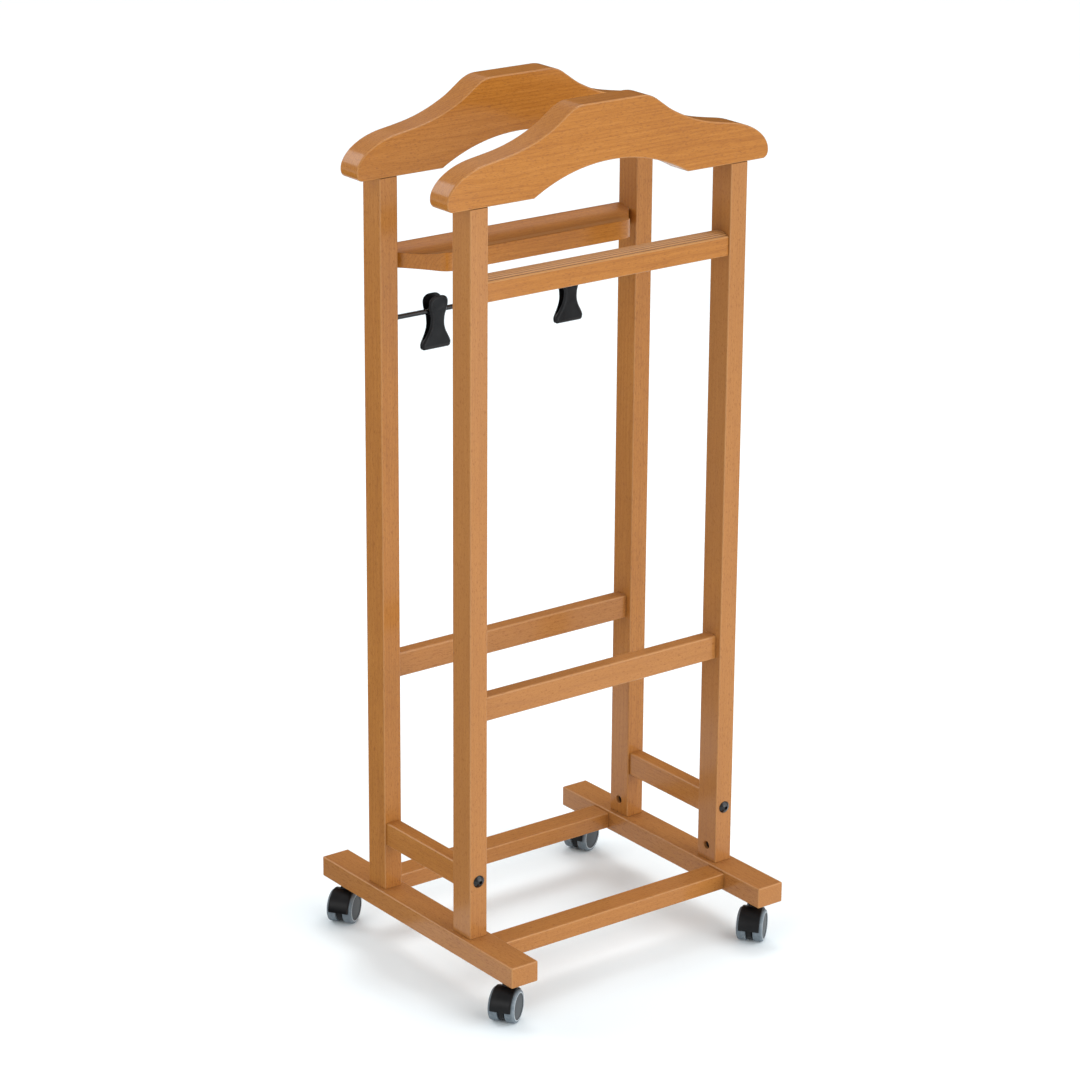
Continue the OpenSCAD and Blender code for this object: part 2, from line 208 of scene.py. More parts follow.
def plain_beech():
    wood = Finish("plain_beech", Roughness=0.7)
    spot = wood.place()
    fibre = wood.noise(spot, (900.0, 900.0, 300.0), 2.0)
    wood.feed("Base Color", wood.blend(fibre, rgb(0.72, 0.52, 0.32), rgb(0.60, 0.40, 0.22)))
    wood.feed("Normal", wood.relief(fibre, 0.0001))
    return wood.material


def painted_steel():
    """Glossy black enamel with a faint orange peel."""
    steel = Finish("black_steel", Specular_IOR_Level=0.2, Coat_Weight=0.45, Coat_Roughness=0.05)
    spot = steel.place()
    peel = steel.noise(spot, (900.0, 900.0, 900.0), 2.0)
    rub = steel.noise(spot, (60.0, 90.0, 90.0), 3.0)
    steel.feed("Roughness", 0.16 + rub * 0.16)
    steel.feed("Base Color", steel.blend(rub, rgb(0.003, 0.003, 0.004), rgb(0.007, 0.007, 0.008)))
    steel.feed("Normal", steel.relief(peel, 0.00002, 0.4))
    return steel.material


def bare_metal(name, light, dark, roughness):
    """Plated or drawn metal: cloudy tone and fine scratches."""
    metal = Finish(name, Metallic=1.0)
    spot = metal.place()
    cloud = metal.noise(spot, (160.0, 160.0, 160.0), 3.0)
    scratch = metal.noise(spot, (3000.0, 900.0, 900.0), 2.0)
    metal.feed("Base Color", metal.blend(cloud, rgb(*light), rgb(*dark)))
    metal.feed("Roughness", roughness + (cloud - 0.5) * 0.2)
    metal.feed("Normal", metal.relief(scratch, 0.00002, 0.4))
    return metal.material


def moulded_plastic(name, colour, worn, roughness, pebble):
    """Moulded plastic with a fine eroded texture and slightly paler rubbed places."""
    plastic = Finish(name, Specular_IOR_Level=0.20)
    spot = plastic.place()
    skin = plastic.noise(spot, (2600.0, 2600.0, 2600.0), 2.0)
    rub = plastic.between(plastic.noise(spot, (70.0, 70.0, 70.0), 3.0), 0.35, 0.8)
    plastic.feed("Base Color", plastic.blend(rub, rgb(*colour), rgb(*worn)))
    plastic.feed("Roughness", roughness + (rub - 0.5) * 0.08 + (skin - 0.5) * 0.10)
    plastic.feed("Normal", plastic.relief(skin, pebble, 0.5))
    return plastic.material


def tread_rubber():
    """Blue-grey soft tread, dulled by floor dust."""
    rubber = Finish("wheel_rubber", Specular_IOR_Level=0.35)
    spot = rubber.place()
    dust = rubber.between(rubber.noise(spot, (210.0, 210.0, 210.0), 3.0), 0.35, 0.75)
    skin = rubber.noise(spot, (1700.0, 1700.0, 1700.0), 2.0)
    rubber.feed("Base Color", rubber.blend(dust, rgb(0.125, 0.155, 0.180), rgb(0.185, 0.215, 0.240)))
    rubber.feed("Roughness", 0.55 + dust * 0.15 + (skin - 0.5) * 0.1)
    rubber.feed("Normal", rubber.relief(skin, 0.00006, 0.5))
    return rubber.material


FINISH = {
    "lacquered_beech": lacquered_beech(),
    "plain_beech": plain_beech(),
    "black_steel": painted_steel(),
    "zinc_steel": bare_metal("zinc_steel", (0.62, 0.62, 0.60), (0.48, 0.48, 0.47), 0.34),
    "spring_steel": bare_metal("spring_steel", (0.46, 0.46, 0.47), (0.34, 0.34, 0.35), 0.28),
    "brass": bare_metal("brass", (0.78, 0.58, 0.26), (0.62, 0.44, 0.18), 0.32),
    "clip_plastic": moulded_plastic(
        "clip_plastic", (0.004, 0.004, 0.005), (0.009, 0.009, 0.010), 0.32, 0.00004),
    "castor_plastic": moulded_plastic(
        "castor_plastic", (0.0035, 0.0035, 0.004), (0.008, 0.0075, 0.008), 0.40, 0.00005),
    "wheel_plastic": moulded_plastic(
        "wheel_plastic", (0.044, 0.050, 0.056), (0.062, 0.069, 0.076), 0.45, 0.00004),
    "wheel_rubber": tread_rubber(),
}
RIM_GREY = moulded_plastic("rim_grey", (0.36, 0.40, 0.43), (0.44, 0.48, 0.51), 0.35, 0.00003)


# ------------------------------------------------------------------- mesh work

def polygon_area(points):
    return sum(a[0] * b[1] - b[0] * a[1] for a, b in zip(points, points[1:] + points[:1])) / 2


def prism(outline, low, high, lay):
    """A closed solid: outline in a plane, lay(u, v, w) puts its points at w = low and high."""
    if polygon_area(outline) < 0:
        outline = outline[::-1]
    bm = bmesh.new()
    rings = [[bm.verts.new(lay(u, v, w)) for u, v in outline] for w in (low, high)]
    bm.faces.new(rings[0][::-1])
    bm.faces.new(rings[1])
    for i in range(len(outline)):
        k = (i + 1) % len(outline)
        bm.faces.new((rings[0][i], rings[0][k], rings[1][k], rings[1][i]))
    bmesh.ops.recalc_face_normals(bm, faces=bm.faces)
    return bm


def block(low, high):
    outline = [(low[0], low[1]), (high[0], low[1]), (high[0], high[1]), (low[0], high[1])]
    return prism(outline, low[2], high[2], lambda u, v, w: (u, v, w))


def rod(start, end, radius, steps=32):
    """A plain round bar between two points, for cutting holes and for cores."""
    start, end = Vector(start), Vector(end)
    turn = (end - start).to_track_quat("Z", "Y").to_matrix()
    circle = [(radius * math.cos(2 * math.pi * i / steps), radius * math.sin(2 * math.pi * i / steps))
              for i in range(steps)]
    return prism(circle, 0.0, (end - start).length, lambda u, v, w: start + turn @ Vector((u, v, w)))


def turned(profile, steps=96):
    """A lathe shape about Z from (radius, height) points; the profile is a closed loop."""
    bm = bmesh.new()
    rings = []
    for radius, height in profile:
        if radius < 1e-9:
            rings.append([bm.verts.new((0, 0, height))])
        else:
            rings.append([bm.verts.new((radius * math.cos(2 * math.pi * i / steps),
                                        radius * math.sin(2 * math.pi * i / steps), height))
                          for i in range(steps)])
    for a, b in zip(rings, rings[1:] + rings[:1]):
        if len(a) == 1 and len(b) == 1:
            continue
        for i in range(steps):
            k = (i + 1) % steps
            corners = [a[i % len(a)], a[k % len(a)], b[k % len(b)], b[i % len(b)]]
            bm.faces.new(list(dict.fromkeys(corners)))
    bmesh.ops.recalc_face_normals(bm, faces=bm.faces)
    return bm


def round_edges(bm, width, wanted, segments=3):
    """Rounds the edges that wanted(edge) picks."""
    edges = [e for e in bm.edges if wanted(e)]
    bmesh.ops.bevel(bm, geom=edges, offset=width, offset_type="OFFSET", segments=segments, profile=0.5,
                    affect="EDGES", clamp_overlap=True)
    return bm


def temporary(bm):
    mesh = bpy.data.meshes.new("shaping")
    bm.to_mesh(mesh)
    obj = bpy.data.objects.new("shaping", mesh)
    scene.collection.objects.link(obj)
    return obj


def copy_of(node):
    """A CAD node's mesh as one watertight bmesh."""
    bm = bmesh.new()
    bm.from_mesh(NODES[node].data)
    bmesh.ops.remove_doubles(bm, verts=bm.verts, dist=1e-7)
    return bm


def shaped(base, *changes):
    """base after each change in turn: ("DIFFERENCE" or "UNION", bmesh)."""
    obj = temporary(base)
    helpers = []
    for operation, tool in changes:
        helper = temporary(tool)
        helpers.append(helper)
        step = obj.modifiers.new("shape", "BOOLEAN")
        step.operation, step.solver, step.object = operation, "EXACT", helper
    done = bmesh.new()
    depsgraph = bpy.context.evaluated_depsgraph_get()
    depsgraph.update()
    evaluated = obj.evaluated_get(depsgraph)
    done.from_mesh(evaluated.to_mesh())
    evaluated.to_mesh_clear()
    for leftover in [obj] + helpers:
        mesh = leftover.data
        bpy.data.objects.remove(leftover)
        bpy.data.meshes.remove(mesh)
    bmesh.ops.remove_doubles(done, verts=done.verts, dist=2e-7)
    return done


def finish_piece(name, bm, slot, stands_for, crease=32, rides=True, move=None):
    """Turns a bmesh into a piece of the object that rides on its CAD body."""
    if move is not None:
        bmesh.ops.transform(bm, matrix=move, verts=bm.verts)
    bmesh.ops.recalc_face_normals(bm, faces=bm.faces)
    mesh = bpy.data.meshes.new(name)
    bm.to_mesh(mesh)
    bm.free()
    mesh.polygons.foreach_set("use_smooth", [True] * len(mesh.polygons))
    mesh.set_sharp_from_angle(angle=math.radians(crease))
    obj = bpy.data.objects.new(name, mesh)
    scene.collection.objects.link(obj)
    mesh.materials.append(FINISH[slot])
    weigh = obj.modifiers.new("even_shading", "WEIGHTED_NORMAL")
    weigh.keep_sharp, weigh.weight = True, 80
    if rides:
        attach(obj, body_of_node(stands_for[0]))
    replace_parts(obj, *stands_for)
    return obj


# ----------------------------------------------------------------------- wood

ARRIS_HIGHLIGHT = 0.45      # strength of the painted highlight on a rounded edge, against 1 on the bar's paler crown
JOINT_LINE = 0.45 * MM  # width of the fine groove where a stick's end meets its neighbour
M6_CLEARANCE, STEM_CLEARANCE = 3.3 * MM, 5.0 * MM
BOLT_HEAD_R, BOLT_HEAD_DEEP = 5.5 * MM, 7.5 * MM
NUT_HOLE_DEEP, BOLT_HOLE_DEEP, STEM_HOLE_DEEP = 19 * MM, 27 * MM, 20 * MM


# marks the rounded edges that get the painted highlight
def arris_of(mesh, flat_axis):
    """1 at the points inside a rounded edge, 0 elsewhere. flat_axis is the axis that the rounded rim
    leans from; without it, a face that faces two ways at once belongs to a rounded edge."""
    inside = [1.0] * len(mesh.vertices)
    for face in mesh.polygons:
        n = face.normal
        if flat_axis is None:
            leans = sum(abs(c) > 0.06 for c in n) > 1
        else:
            leans = 0.06 < abs(n[flat_axis]) < 0.995
        if not leans:
            for i in face.vertices:
                inside[i] = 0.0
    return inside


def lay_grain(obj, along, seed, tint=0.0, paler=None, flat_axis=None, seam=None):
    """Writes each point's place in its board: along the grain, across it and through it. tint is
    how far the stain took: 0 is full orange, 1 is pale. paler gives a point's share of painted
    highlight on a rounded edge and of the bar's paler crown; seam gives its share of painted
    shade in a joint or a groove."""
    mesh = obj.data
    draw = random.Random(seed)
    across, through = [i for i in range(3) if i != along]
    shift = (draw.uniform(0, 9), draw.uniform(0.03, 0.055), draw.uniform(0.012, 0.03))
    middle = [(lo + hi) / 2 for lo, hi in zip(*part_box(obj["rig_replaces"][0]))]
    grain = mesh.attributes.new("grain", "FLOAT_VECTOR", "POINT")
    values = []
    for vertex in mesh.vertices:
        p = vertex.co
        values += [p[along] + shift[0], p[across] - middle[across] + shift[1],
                   p[through] - middle[through] + shift[2]]
    grain.data.foreach_set("vector", values)
    # painted highlight on every rounded edge
    highlight_and_pale_crown = [ARRIS_HIGHLIGHT * a for a in arris_of(mesh, flat_axis)]
    if paler:
        highlight_and_pale_crown = [max(a, paler(v.co)) for a, v in zip(highlight_and_pale_crown, mesh.vertices)]
    layers = {"tint": [tint] * len(mesh.vertices), "paler": highlight_and_pale_crown,
              "seam": [seam(v.co) if seam else 0.0 for v in mesh.vertices]}
    for name, numbers in layers.items():
        mesh.attributes.new(name, "FLOAT", "POINT").data.foreach_set("value", numbers)


def is_along(edge, axis):
    run = edge.verts[1].co - edge.verts[0].co
    return abs(run[axis]) > 0.999 * run.length


def stick(node, along, rounding, cut_by=(), seed=0, tint=0.0, end_rounding=0.0, holes=()):
    """A squared stick with eased long edges, and eased ends where they are free."""
    low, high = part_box(node)
    bm = block(low, high)
    if end_rounding:
        round_edges(bm, end_rounding, lambda e: True, segments=4)
    else:
        round_edges(bm, rounding, lambda e: is_along(e, along), segments=4)

        def at_an_end(edge):
            return any(all(abs(v.co[along] - end) < 1e-6 for v in edge.verts)
                       for end in (low[along], high[along]))

        round_edges(bm, JOINT_LINE, at_an_end, segments=1)
    tools = [("DIFFERENCE", tool) for tool in [copy_of(name) for name in cut_by] + list(holes)]
    if tools:
        bm = shaped(bm, *tools)
    obj = finish_piece(node + "_wood", bm, "lacquered_beech", [node])

    # painted shade in the fine groove at each end of the stick, where it meets its neighbour
    def joint_shade(p):
        return 1.0 if min(p[along] - low[along], high[along] - p[along]) < 1e-6 else 0.0

    lay_grain(obj, along, seed, tint, seam=None if end_rounding else joint_shade)


def middle_of(node):
    low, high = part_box(node)
    return (Vector(low) + Vector(high)) / 2


def post_fastening_holes(node, end, side):
    """The barrel nut's hole in a post's inner face, with a small countersink, and the bolt holes."""
    low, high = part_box(node)
    centre = (Vector(low) + Vector(high)) / 2
    nuts_low, nuts_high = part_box("foot_barrel_nuts")
    nut_z = (nuts_low[2] + nuts_high[2]) / 2
    nut_r = (nuts_high[2] - nuts_low[2]) / 2 + 0.1 * MM
    inner = low[0] if side > 0 else high[0]
    bottom = inner + side * NUT_HOLE_DEEP
    hole = rod((inner - side * 1 * MM, centre.y, nut_z), (bottom, centre.y, nut_z), nut_r, 48)
    rim = [(0, -1 * MM), (nut_r + 1.45 * MM, -1 * MM), (nut_r, 0.45 * MM), (nut_r, 1 * MM), (0, 1 * MM)]
    sink = turned(rim, 48)
    turn = Matrix.Translation((inner, centre.y, nut_z)) @ Matrix.Rotation(side * math.pi / 2, 4, "Y")
    bmesh.ops.transform(sink, matrix=turn, verts=sink.verts)
    bolt = rod((centre.x, centre.y, low[2] - 1 * MM), (centre.x, centre.y, low[2] + BOLT_HOLE_DEEP),
               M6_CLEARANCE)
    through_z = middle_of("stretcher_bolts").z
    through = rod((centre.x, low[1] - 1 * MM, through_z), (centre.x, high[1] + 1 * MM, through_z),
                  M6_CLEARANCE)
    return [hole, sink, bolt, through]


def posts():
    for number, (end, side) in enumerate(CORNERS):
        node = f"{end}_{side}_post"
        cut_by = ["shoulder_dowels", "cross_rail_dowels"] + (["clip_rod"] if end == "rear" else [])
        stick(node, 2, 1.6 * MM, cut_by, seed=11 + number, tint=0.55 if end == "front" else 0.3,
              holes=post_fastening_holes(node, ENDS[end], SIDES[side]))


def feet():
    for number, side in enumerate(SIDES):
        node = f"{side}_foot"
        low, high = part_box(node)
        x = (low[0] + high[0]) / 2
        holes = []
        for end in ENDS:
            post = middle_of(f"{end}_{side}_post")
            stem_y = JOINTS[f"{end}_{side}_swivel"]["pos_m"][1]
            for y, top, radius in ((post.y, high[2] + 1 * MM, M6_CLEARANCE),
                                   (post.y, low[2] + BOLT_HEAD_DEEP, BOLT_HEAD_R),
                                   (stem_y, low[2] + STEM_HOLE_DEEP, STEM_CLEARANCE)):
                holes.append(rod((x, y, low[2] - 1 * MM), (x, y, top), radius))
        stick(node, 1, 1.8 * MM, ["base_rail_dowels"], seed=31 + number, tint=0.55,
              end_rounding=1.8 * MM, holes=holes)


def rails():
    for number, end in enumerate(ENDS):
        stick(f"{end}_base_rail", 0, 1.6 * MM, ["base_rail_dowels"], seed=41 + number, tint=0.45)
        stick(f"{end}_mid_rail", 0, 2.2 * MM, ["cross_rail_dowels"], seed=51 + number, tint=0.55)
    for number, side in enumerate(SIDES):
        stick(f"{side}_side_stretcher", 1, 2.2 * MM, ["stretcher_inserts", "stretcher_bolts"],
              seed=61 + number, tint=0.3)


def trouser_bar():
    """The bar's sides are flat; its crown is a paler strip with fine grooves for grip."""
    low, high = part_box("trouser_bar")
    half, top, centre_y = (high[1] - low[1]) / 2, high[2], (low[1] + high[1]) / 2
    rise = 5.0 * MM
    side_top = top - rise
    crown_r = (half * half + rise * rise) / (2 * rise)
    grooves, pitch, groove_w, groove_d = 9, 3.1 * MM, 1.7 * MM, 0.8 * MM
    seam_d, joint_band, steps = 0.45 * MM, 0.5 * MM, 220

    def smooth_crown(y):
        return side_top + math.sqrt(crown_r * crown_r - y * y) - (crown_r - rise)

    def crown(y):
        height = smooth_crown(y)
        nearest = round(y / pitch)
        if abs(nearest) <= grooves // 2:
            off = abs(y - nearest * pitch)
            if off < groove_w / 2:
                height -= groove_d * math.cos(math.pi * off / groove_w)
        return height

    ease = 1.6 * MM
    outline = [(-half, low[2] + ease), (-half + 0.214 * ease, low[2] + 0.5 * ease),
               (-half + 0.5 * ease, low[2] + 0.214 * ease), (-half + ease, low[2])]
    outline += [(-y, z) for y, z in outline[::-1]]
    # seam between the side and the crown strip, then the crown from +half to -half
    seam = [(half, side_top - 1.1 * MM), (half - seam_d, side_top - 0.8 * MM),
            (half - 0.1 * MM, side_top - 0.4 * MM)]
    across = [half * (1 - 2 * i / steps) for i in range(steps + 1)]
    outline += seam + [(y, crown(y)) for y in across] + [(-y, z) for y, z in seam[::-1]]
    bm = prism(outline, low[0], high[0], lambda y, z, x: (x, y + centre_y, z))
    for x in (low[0] + joint_band, high[0] - joint_band):
        everything = bm.verts[:] + bm.edges[:] + bm.faces[:]
        bmesh.ops.bisect_plane(bm, geom=everything, plane_co=(x, 0, 0), plane_no=(1, 0, 0))
    bm = shaped(bm, ("DIFFERENCE", copy_of("cross_rail_dowels")))
    obj = finish_piece("trouser_bar_wood", bm, "lacquered_beech", ["trouser_bar"], crease=50)

    def on_crown(p):
        return 1.0 if p.z > side_top - 0.5 * MM else 0.0

    # painted shade at the bar's ends and in its crown grooves, darker the deeper the groove
    def joint_and_groove_shade(p):
        if min(p.x - low[0], high[0] - p.x) < 1e-6:
            return 1.0
        sunk = (smooth_crown(p.y - centre_y) - p.z) / groove_d
        return max(0.0, min(1.0, sunk)) if p.z > side_top else 0.0

    lay_grain(obj, 0, 71, 0.1, paler=on_crown, seam=joint_and_groove_shade)


def bezier(a, b, c, d, steps):
    """Points on the curve with ends a, d and handles b, c."""
    points = []
    for i in range(steps + 1):
        t = i / steps
        points.append(tuple((1 - t) ** 3 * a[k] + 3 * t * (1 - t) ** 2 * b[k]
                            + 3 * t * t * (1 - t) * c[k] + t ** 3 * d[k] for k in range(2)))
    return points


def both_sides(half):
    return half + [(-x, y) for x, y in half[::-1]]


def without_repeats(points):
    kept = []
    for p in points:
        if not kept or math.dist(p, kept[-1]) > 0.02 * MM:
            kept.append(p)
    return kept


def scaled(points):
    return [(x * MM, y * MM) for x, y in points]


def tray():
    """A dished board with a straight front lip and slanting ends."""
    low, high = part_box("tray")
    front, reach, lip_half = low[1] / MM, high[0] / MM, 118.0
    half_plan = bezier((lip_half, front), (lip_half + 10, front), (lip_half + 15.5, front + 2.5),
                       (lip_half + 20.5, front + 9), 10)
    half_plan += bezier((lip_half + 20.5, front + 9), (lip_half + 27, front + 20),
                        (lip_half + 36, front + 34), (reach, front + 55), 10)[1:]
    half_plan += [(reach, high[1] / MM)]
    bm = prism(scaled(both_sides(half_plan)), low[2], high[2], lambda u, v, w: (u, v, w))
    dish, half_width = 4.5 * MM, (high[1] - low[1]) / 2 - 4 * MM
    radius = (half_width ** 2 + dish ** 2) / (2 * dish)
    centre_y, centre_z = (low[1] + high[1]) / 2, high[2] - dish + radius
    hollow = rod((low[0] - MM, centre_y, centre_z), (high[0] + MM, centre_y, centre_z), radius, 240)
    bm = shaped(bm, ("DIFFERENCE", hollow))
    bmesh.ops.dissolve_limit(bm, angle_limit=math.radians(0.3), verts=bm.verts, edges=bm.edges)

    def lip(edge):
        if len(edge.link_faces) != 2 or edge.calc_face_angle(0) < math.radians(38):
            return False
        return not all(abs(v.co.x) > high[0] - 0.05 * MM for v in edge.verts)

    round_edges(bm, 1.9 * MM, lip, segments=4)
    bm = shaped(bm, ("DIFFERENCE", copy_of("cross_rail_dowels")))
    obj = finish_piece("tray_wood", bm, "lacquered_beech", ["tray"], crease=40)
    lay_grain(obj, 0, 83, flat_axis=2)


def shoulder(end):
    """A shoulder board: flat top, swept shoulders, rounded ends and an arch under the middle."""
    node = f"{end}_shoulder"
    low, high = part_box(node)
    w, h, flat = high[0] / MM, (high[2] - low[2]) / MM, 40.0
    half = [(w - 8, 0)]
    half += bezier((w - 8, 0), (w - 3.5, 0), (w, 4), (w, 10), 8)
    half += bezier((w, 10), (w, 26), (w - 22, 43.5), (w - 56, 48.8), 22)
    half += bezier((w - 56, 48.8), (w - 66, 50.3), (w - 75, 51.9), (w - 84, 53.6), 4)
    half += bezier((w - 84, 53.6), (w - 107, 58.2), (w - 125, 65.5), (w - 143, 75), 14)
    half += bezier((w - 143, 75), (w - 150, 78.8), (flat + 32, h - 13.5), (flat + 26, h - 9.5), 4)
    half += bezier((flat + 26, h - 9.5), (flat + 18, h - 3.5), (flat + 10, h), (flat, h), 12)
    arch_w, arch_h = 220.0, 29.5
    arch_r = (arch_w ** 2 / 4 + arch_h ** 2) / (2 * arch_h)
    spread = math.asin(arch_w / 2 / arch_r)
    arch = [(arch_r * math.sin(a), arch_h - arch_r + arch_r * math.cos(a))
            for a in [spread * (2 * i / 40 - 1) for i in range(41)]]
    outline = without_repeats(scaled(both_sides(half)) + scaled(arch))
    bm = prism(outline, low[1], high[1], lambda u, v, y: (u, y, v + low[2]))

    def rim(edge):
        return not is_along(edge, 1)

    round_edges(bm, 1.8 * MM, rim, segments=4)
    bm = shaped(bm, ("DIFFERENCE", copy_of("shoulder_dowels")))
    obj = finish_piece(node + "_wood", bm, "lacquered_beech", [node], crease=40)
    lay_grain(obj, 0, 91 + ENDS[end], flat_axis=1)


# ---------------------------------------------------------------------- clips

def wire(points, radius, sides=10):
    """A round wire along points, with closed ends."""
    bm = bmesh.new()
    points = [Vector(p) for p in points]
    up, rings = None, []
    for i, p in enumerate(points):
        run = (points[min(i + 1, len(points) - 1)] - points[max(i - 1, 0)]).normalized()
        up = run.orthogonal() if up is None else up - run * up.dot(run)
        up.normalize()
        side = run.cross(up)
        rings.append([bm.verts.new(p + radius * (math.cos(a) * up + math.sin(a) * side))
                      for a in [2 * math.pi * k / sides for k in range(sides)]])
    bm.faces.new(rings[0][::-1])
    bm.faces.new(rings[-1])
    for a, b in zip(rings, rings[1:]):
        for k in range(sides):
            m = (k + 1) % sides
            bm.faces.new((a[k], a[m], b[m], b[k]))
    bmesh.ops.recalc_face_normals(bm, faces=bm.faces)
    return bm


PIVOT_UP = 46.0 * MM  # height of the rod above a jaw's foot


def jaw_outline():
    """Half widths up a jaw, from its foot, as (half width, height)."""
    w, h = 20.2, 65.0
    half = bezier((w - 3.2, 0), (w - 1.4, 0.2), (w, 1.8), (w, 4.6), 7)
    half += bezier((w, 6.5), (w - 2.6, 14), (9.7, 21), (9.7, 33), 16)
    half += bezier((9.8, 38), (10.6, 45), (13.3, 46), (13.3, h - 9), 10)
    half += bezier((13.3, h - 8.5), (12.9, h - 3.2), (8.6, h), (2.5, h), 14)
    return without_repeats(scaled(half))


def jaw_lean(z):
    """How far a jaw's outer face stands from the rod's middle plane at height z above the foot."""
    stations = [(0, 3.2), (1.2, 3.5), (5, 3.6), (65, 9.0)]
    z /= MM
    for (z0, y0), (z1, y1) in zip(stations, stations[1:]):
        if z <= z1:
            return (y0 + (y1 - y0) * (z - z0) / (z1 - z0)) * MM
    return stations[-1][1] * MM


def jaw_inside(z):
    """The inner face: the grip pad at the foot, then the plate's back."""
    pad, wall = 0.15 * MM, 2.1 * MM
    plate = jaw_lean(z) - wall
    if z < 9 * MM:
        return pad
    t = min(1.0, (z - 9 * MM) / (6 * MM))
    t = t * t * (3 - 2 * t)
    return pad + (plate - pad) * t


def jaw_plate():
    """The jaw as a thin shell with a bevelled border, a raised field and a thumb hollow."""
    outline = jaw_outline()
    ring = [Vector(p) for p in both_sides(outline)]

    def rim_distance(x, z):
        p = Vector((x, z))
        best = 1.0
        for a, b in zip(ring, ring[1:] + ring[:1]):
            run = b - a
            t = 0.0 if run.length < 1e-9 else max(0.0, min(1.0, (p - a).dot(run) / run.length_squared))
            best = min(best, (p - a - run * t).length)
        return best

    def outer(x, z):
        d = rim_distance(x, z)
        y = jaw_lean(z)
        y -= 1.5 * MM * (1 - min(1.0, d / (2.4 * MM))) ** 1.3
        # field inside a shallow step
        y -= 0.45 * MM * max(0.0, min(1.0, (d - 3.2 * MM) / (0.5 * MM)))
        # thumb hollow near the top
        r = math.hypot(x / (9.2 * MM), (z - 55.2 * MM) / (7.6 * MM))
        y -= 0.85 * MM * max(0.0, 1 - r ** 2) ** 0.6 * (1 if r < 1 else 0)
        return y

    heights, widths = [], []
    for (w0, z0), (w1, z1) in zip(outline, outline[1:]):
        pieces = max(1, math.ceil((z1 - z0) / (1.1 * MM)))
        for i in range(pieces):
            heights.append(z0 + (z1 - z0) * i / pieces)
            widths.append(w0 + (w1 - w0) * i / pieces)
    heights.append(outline[-1][1])
    widths.append(outline[-1][0])
    columns = [1, 0.975, 0.945, 0.90, 0.85, 0.80, 0.74, 0.66, 0.56, 0.45, 0.34, 0.22, 0.11, 0]
    columns = columns + [-c for c in columns[-2::-1]]
    bm = bmesh.new()
    shells = []
    for face in (outer, lambda x, z: jaw_inside(z)):
        shells.append([[bm.verts.new((c * w, face(c * w, z), z - PIVOT_UP)) for c in columns]
                       for w, z in zip(widths, heights)])
    rows, last = len(heights), len(columns) - 1
    for grid in shells:
        for r in range(rows - 1):
            for c in range(last):
                bm.faces.new((grid[r][c], grid[r][c + 1], grid[r + 1][c + 1], grid[r + 1][c]))
    front, back = shells
    for r in range(rows - 1):
        bm.faces.new((front[r][0], front[r + 1][0], back[r + 1][0], back[r][0]))
        bm.faces.new((front[r][last], front[r + 1][last], back[r + 1][last], back[r][last]))
    for c in range(last):
        bm.faces.new((front[0][c], front[0][c + 1], back[0][c + 1], back[0][c]))
        bm.faces.new((front[-1][c], front[-1][c + 1], back[-1][c + 1], back[-1][c]))
    bmesh.ops.recalc_face_normals(bm, faces=bm.faces)
    return bm


def jaw_lug(inner_x):
    """A lug that rides on the rod, round on its free side and square where it meets the plate."""
    reach, half_height, steps = 5.9 * MM, 4.7 * MM, 40
    bm = bmesh.new()
    loops = []
    for x in (inner_x, inner_x + 2 * MM):
        loops.append([])
        for bore in (True, False):
            loop = []
            for i in range(steps):
                a = 2 * math.pi * i / steps
                y, z = math.cos(a), math.sin(a)
                if bore:
                    r = 3.06 * MM
                elif y <= 0:
                    r = half_height
                else:
                    r = min(reach / max(y, 1e-6), half_height / max(abs(z), 1e-6))
                loop.append(bm.verts.new((x, r * y, r * z)))
            loops[-1].append(loop)
    (near_bore, near_rim), (far_bore, far_rim) = loops
    for i in range(steps):
        k = (i + 1) % steps
        bm.faces.new((near_bore[i], near_bore[k], near_rim[k], near_rim[i]))
        bm.faces.new((far_bore[i], far_bore[k], far_rim[k], far_rim[i]))
        bm.faces.new((near_bore[i], near_bore[k], far_bore[k], far_bore[i]))
        bm.faces.new((near_rim[i], near_rim[k], far_rim[k], far_rim[i]))
    bmesh.ops.recalc_face_normals(bm, faces=bm.faces)
    return bm


def clip(side):
    turn = JOINTS[f"{side}_clip_turn"]["pos_m"]
    for end, lug_x in (("rear", 4.2 * MM), ("front", 6.5 * MM)):
        node = f"{side}_clip_{end}_jaw"
        lugs = [("UNION", jaw_lug(x)) for x in (lug_x, -lug_x - 2 * MM)]
        bm = shaped(jaw_plate(), *lugs)
        move = Matrix.Translation(turn)
        if end == "front":
            move = move @ Matrix.Scale(-1, 4, (0, 1, 0))
        finish_piece(f"{side}_clip_{end}_half", bm, "clip_plastic", [node], crease=28, move=move)
    # helical spring round the rod, one leg against each handle
    coil_r, coil_half, turns = 3.82 * MM, 3.1 * MM, 4.5
    points = [(-coil_half, -5.8 * MM, 12.6 * MM), (-coil_half, -4.9 * MM, 8.0 * MM),
              (-coil_half, -4.2 * MM, 3.5 * MM)]
    steps = int(turns * 22)
    for i in range(steps + 1):
        a = math.pi + 2 * math.pi * turns * i / steps
        points.append((coil_half * (2 * i / steps - 1), coil_r * math.cos(a), coil_r * math.sin(a)))
    points += [(-x, -y, z) for x, y, z in points[2::-1]]
    spring = finish_piece(f"{side}_clip_coil", wire(points, 0.6 * MM), "spring_steel",
                          [f"{side}_clip_spring"], crease=60, rides=False,
                          move=Matrix.Translation(turn))
    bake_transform(spring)


# --------------------------------------------------------------------- castors

def castor_frame(end, side):
    """The castor's own axes at its axle: X trails away from the stem, Y runs along the axle."""
    spin = JOINTS[f"{end}_{side}_outer_spin"]
    angle = math.atan2(-spin["axis"][0], spin["axis"][1])
    return Matrix.Translation(spin["pos_m"]) @ Matrix.Rotation(angle, 4, "Z")


WHEEL_R, WEB_HALF, TRAIL, FENDER_HALF = 20 * MM, 3.7 * MM, 15 * MM, 13 * MM


